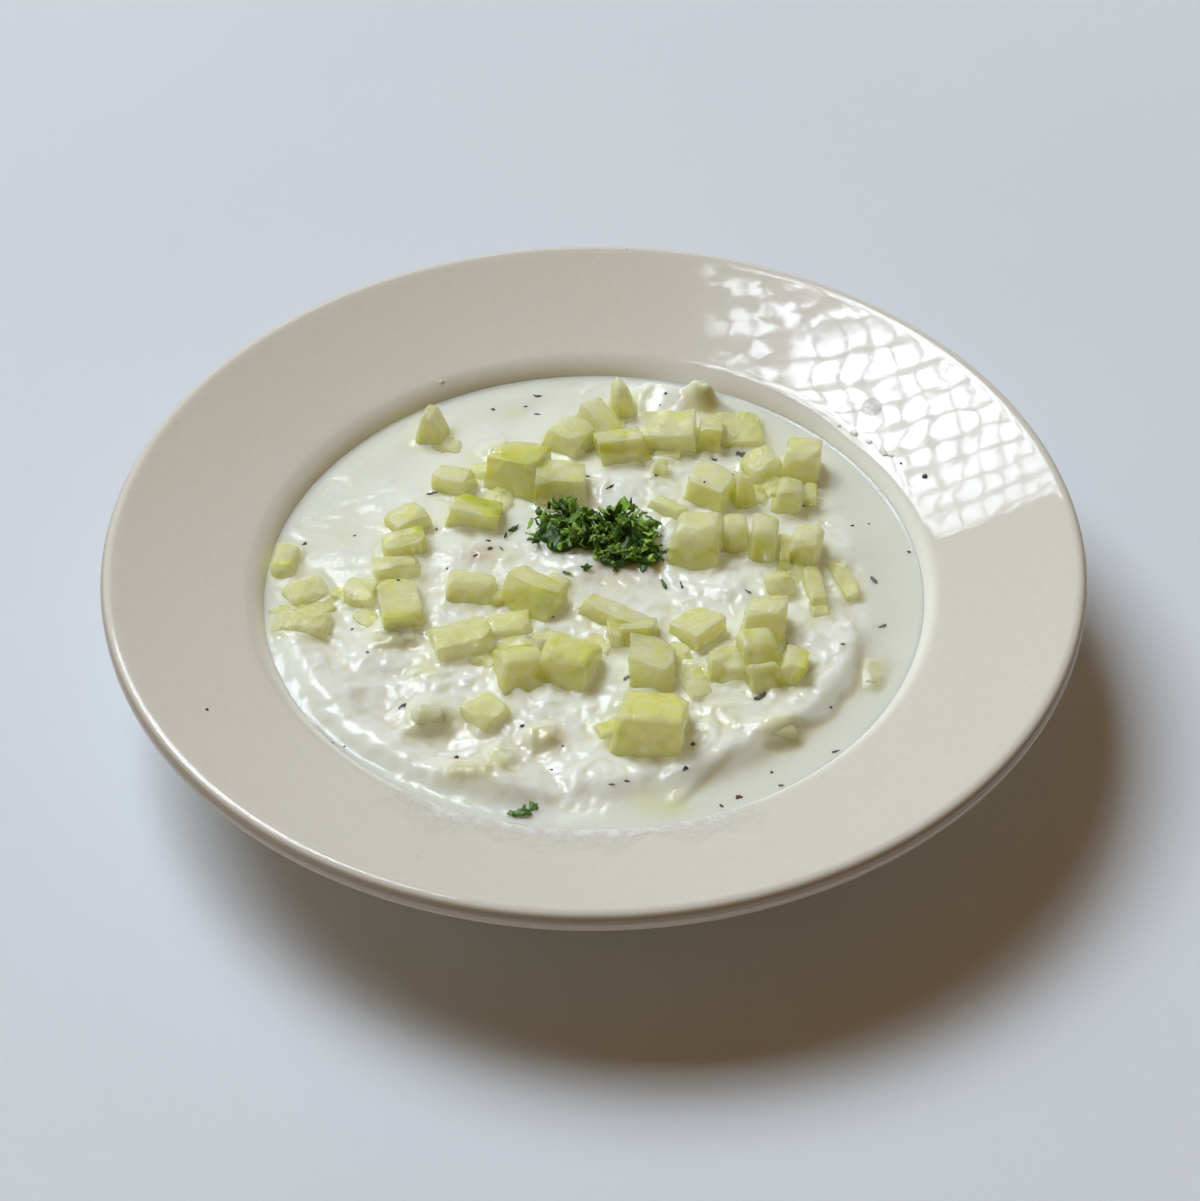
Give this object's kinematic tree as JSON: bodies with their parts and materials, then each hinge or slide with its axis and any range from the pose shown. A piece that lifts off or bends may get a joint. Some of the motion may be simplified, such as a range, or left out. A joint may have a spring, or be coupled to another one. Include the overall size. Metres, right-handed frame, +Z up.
{
  "type": "tzatziki dip",
  "caption": "Tzatziki yoghurt dip in a wide-rimmed shallow cream bowl, topped with cut cucumber, chopped parsley and dried herb flakes.",
  "frame": {"origin": "on the table under the middle of the bowl", "axes": "+Z up; +Y towards the back of the bowl as it is served, +X to its right"},
  "size_m": [0.229, 0.229, 0.0379],
  "materials": {
    "china": "thick cream restaurant china with a clear gloss glaze",
    "yoghurt": "wet thick yoghurt, glossy on its crests, with dark herb flakes",
    "cucumber": "wet translucent yellow-green flesh, fibrous, some faces with seeds",
    "parsley": "finely chopped fresh leaf, satin"
  },
  "bodies": {
    "root": {"bowl": "china", "dip": "yoghurt", "parsley_heap": "parsley", "cucumber_01": "cucumber", "cucumber_02": "cucumber", "cucumber_03": "cucumber", "cucumber_04": "cucumber", "cucumber_05": "cucumber", "cucumber_06": "cucumber", "cucumber_07": "cucumber", "cucumber_08": "cucumber", "cucumber_09": "cucumber", "cucumber_10": "cucumber", "cucumber_11": "cucumber", "cucumber_12": "cucumber", "cucumber_13": "cucumber", "cucumber_14": "cucumber", "cucumber_15": "cucumber", "cucumber_16": "cucumber", "cucumber_17": "cucumber", "cucumber_18": "cucumber", "cucumber_19": "cucumber", "cucumber_20": "cucumber", "cucumber_21": "cucumber", "cucumber_22": "cucumber", "cucumber_23": "cucumber", "cucumber_24": "cucumber", "cucumber_25": "cucumber", "cucumber_26": "cucumber", "cucumber_27": "cucumber", "cucumber_28": "cucumber", "cucumber_29": "cucumber", "cucumber_30": "cucumber", "cucumber_31": "cucumber", "cucumber_32": "cucumber", "cucumber_33": "cucumber", "cucumber_34": "cucumber", "cucumber_35": "cucumber", "cucumber_36": "cucumber", "cucumber_37": "cucumber", "cucumber_38": "cucumber", "cucumber_39": "cucumber", "cucumber_40": "cucumber", "cucumber_41": "cucumber", "cucumber_42": "cucumber", "cucumber_43": "cucumber", "cucumber_44": "cucumber", "cucumber_45": "cucumber", "cucumber_46": "cucumber", "cucumber_47": "cucumber", "cucumber_48": "cucumber", "cucumber_49": "cucumber", "cucumber_50": "cucumber", "cucumber_51": "cucumber", "cucumber_52": "cucumber"}
  },
  "joints": []
}
